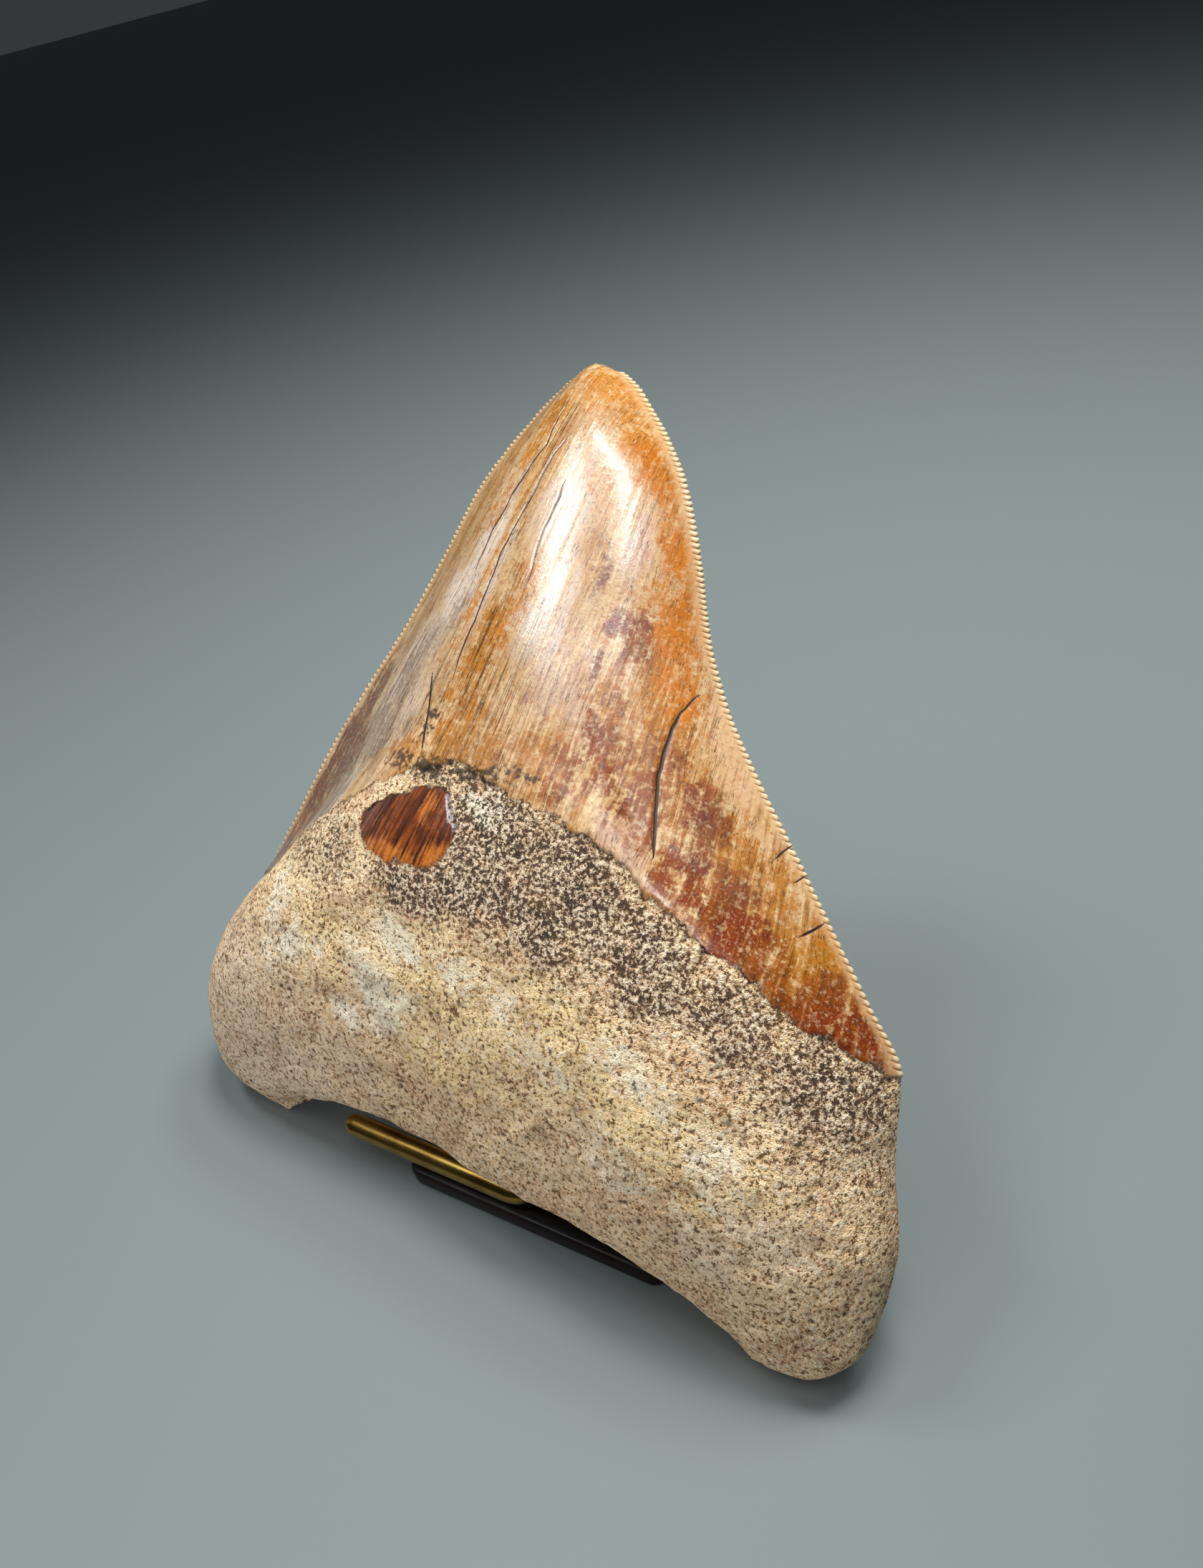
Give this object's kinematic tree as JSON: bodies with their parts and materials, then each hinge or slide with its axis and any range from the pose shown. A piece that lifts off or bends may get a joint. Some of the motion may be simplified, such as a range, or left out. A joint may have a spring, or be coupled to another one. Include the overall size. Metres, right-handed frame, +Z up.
{
  "type": "fossil shark tooth on a display stand",
  "caption": "Large triangular fossil shark tooth with a glossy serrated crown and a thick grainy root, leaning back on a small stand of dark wood and brass.",
  "frame": {"origin": "on the ground, under the middle of the box that holds the tooth and its stand", "axes": "+Z up, X across the tooth, -Y the side that the tooth's inner face and the camera of the picture are on; the tooth leans back towards +Y"},
  "size_m": [0.1182, 0.0796, 0.0935],
  "materials": {
    "fossil_tooth": "glossy mottled enamel on the crown, matt and grainy on the root",
    "dark_wood": "dark satin lacquer",
    "brass": "polished"
  },
  "bodies": {
    "root": {"tooth": "fossil_tooth", "stand_plate": "dark_wood", "stand_cradle": "brass", "stand_back_rest": "brass"}
  },
  "joints": []
}
